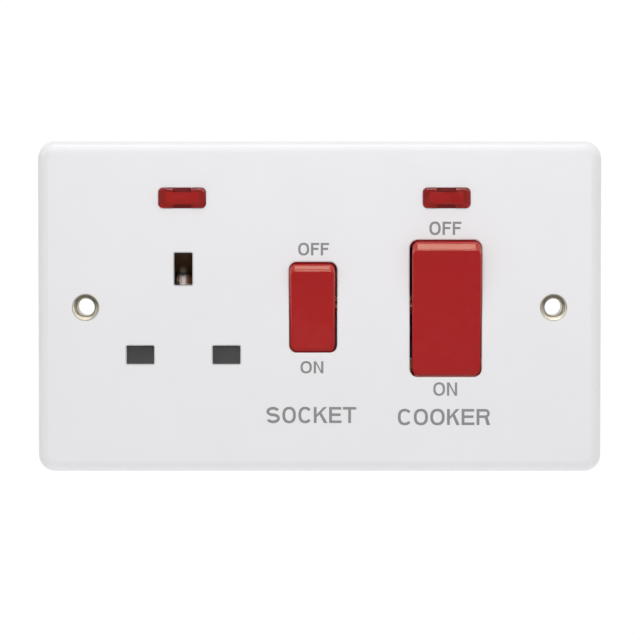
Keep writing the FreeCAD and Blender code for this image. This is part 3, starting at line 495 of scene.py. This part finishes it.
ck_tilt, ck_py, ck_h0 = 7.5, -3.0, 8.83 * math.cos(math.radians(7.5)) - 14.95 * math.sin(math.radians(7.5))
sk_tilt, sk_py, sk_h0 = 7.0, -4.0, 6.84 * math.cos(math.radians(7.0)) - 9.70 * math.sin(math.radians(7.0))
ck_y0, ck_y1 = ck_py - ck_h0 + 2.25, ck_py + 1.0
sk_y0, sk_y1 = sk_py - sk_h0 + 2.05, sk_py + 0.8
for tag, x in (("live", 28.0), ("neutral", 37.0)):
    a, b = tilted(x, ck_y0, ck_py, ck_tilt), tilted(x, ck_y1, ck_py, ck_tilt)
    spring_piece("plunger_coil_cooker_" + tag, [(a, b, 1.38, 0.24, 5)], "cooker_rocker_body",
                 "cooker_spring_" + tag)
a, b = tilted(-1.6, sk_y0, sk_py, sk_tilt), tilted(-1.6, sk_y1, sk_py, sk_tilt)
spring_piece("plunger_coil_socket", [(a, b, 1.22, 0.22, 4)], "socket_rocker_body",
             "socket_spring")
spring_piece("shutter_coils", [((x, -4.72, 5.0), (x, -4.72, -9.2), 1.2, 0.2, 8) for x in (-46.65, -23.65)], "body",
             "shutter_springs")

# ------------------------------------------------------------------ stage, light and camera
bm = bmesh.new()
corners = [(-1.3, -2.2), (1.8, -2.2), (1.8, 1.35), (-1.3, 1.35)]
bm.faces.new([bm.verts.new((x, y, -0.28)) for x, y in corners])
mesh = bpy.data.meshes.new("floor")
bm.to_mesh(mesh)
bm.free()
floor = bpy.data.objects.new("floor", mesh)
scene.collection.objects.link(floor)
m = Mat("floor_paint").set(specular=0.2)
m.colour(m.tones(m.noise(3.0, 2.0, 0.5), (0.3, (0.69, 0.69, 0.695)), (0.7, (0.71, 0.71, 0.715))))
m.rough(m.span(m.noise(8.0, 2.0, 0.5), 0.8, 0.9))
floor.data.materials.append(m.m)
floor.visible_glossy = False

world = bpy.data.worlds.new("studio")
scene.world = world
world.use_nodes = True
wt = world.node_tree
wt.nodes.clear()
w_out = wt.nodes.new("ShaderNodeOutputWorld")
w_bg = wt.nodes.new("ShaderNodeBackground")
w_co = wt.nodes.new("ShaderNodeTexCoord")
w_sep = wt.nodes.new("ShaderNodeSeparateXYZ")
w_bg.inputs["Color"].default_value = (1.0, 1.0, 1.0, 1.0)
wt.links.new(w_co.outputs["Generated"], w_sep.inputs["Vector"])


def fade(socket, a, b, lo, hi):
    n = wt.nodes.new("ShaderNodeMapRange")
    n.interpolation_type = "SMOOTHSTEP"
    n.inputs["From Min"].default_value = a
    n.inputs["From Max"].default_value = b
    for value, to in ((lo, "To Min"), (hi, "To Max")):
        if isinstance(value, float):
            n.inputs[to].default_value = value
        else:
            wt.links.new(value, n.inputs[to])
    wt.links.new(socket, n.inputs["Value"])
    return n.outputs["Result"]


# a white cyclorama behind that dims overhead, grey in front, darker towards the floor in front
front = fade(w_sep.outputs["Z"], -0.15, 0.30, 0.05, 0.36)
back = fade(w_sep.outputs["Z"], 0.20, 0.60, 1.02, 0.65)
wt.links.new(fade(w_sep.outputs["Y"], -0.22, 0.33, front, back), w_bg.inputs["Strength"])
wt.links.new(w_bg.outputs["Background"], w_out.inputs["Surface"])


def softbox(name, at, aim, sx, sy, energy):
    light = bpy.data.lights.new(name, "AREA")
    light.shape = "RECTANGLE"
    light.size, light.size_y = sx, sy
    light.energy = energy
    o = bpy.data.objects.new(name, light)
    scene.collection.objects.link(o)
    o.location = at
    o.rotation_mode = "QUATERNION"
    o.rotation_quaternion = (Vector(aim) - Vector(at)).to_track_quat("-Z", "Y")
    return o


softbox("overhead", (0.0, -0.06, 0.85), (0.0, 0.0, 0.0), 0.45, 0.35, 1.66)
softbox("front_high", (0.0, -0.75, 0.85), (0.0, 0.0, 0.0), 1.3, 0.6, 4.56)
softbox("front_low", (0.06, -1.20, 0.175), (0.0, -0.009, 0.0), 0.4, 0.18, 2.85)
softbox("under_fill", (0.0, -0.01, -0.255), (0.0, -0.01, 0.0), 0.6, 0.12, 0.21)
softbox("left_fill", (-1.0, -0.45, 0.10), (0.0, 0.0, 0.0), 0.5, 0.9, 1.15)
softbox("right_fill", (1.0, -0.45, 0.10), (0.0, 0.0, 0.0), 0.5, 0.9, 1.0)

cam_data = bpy.data.cameras.new("camera")
cam = bpy.data.objects.new("camera", cam_data)
scene.collection.objects.link(cam)
scene.camera = cam
aim = Vector((0.0001, -0.009, -0.00325))
elev = math.radians(2.5)
dist = 0.950
cam.location = aim + Vector((0.0, -math.cos(elev), math.sin(elev))) * dist
cam.rotation_mode = "QUATERNION"
cam.rotation_quaternion = (aim - cam.location).to_track_quat("-Z", "Y")
cam_data.sensor_width = 36.0
cam_data.lens = 3.88 / MM * 36.0 * dist / 640.0
cam_data.clip_start, cam_data.clip_end = 0.05, 20.0
scene.view_settings.view_transform = "Standard"
scene.view_settings.look = "None"
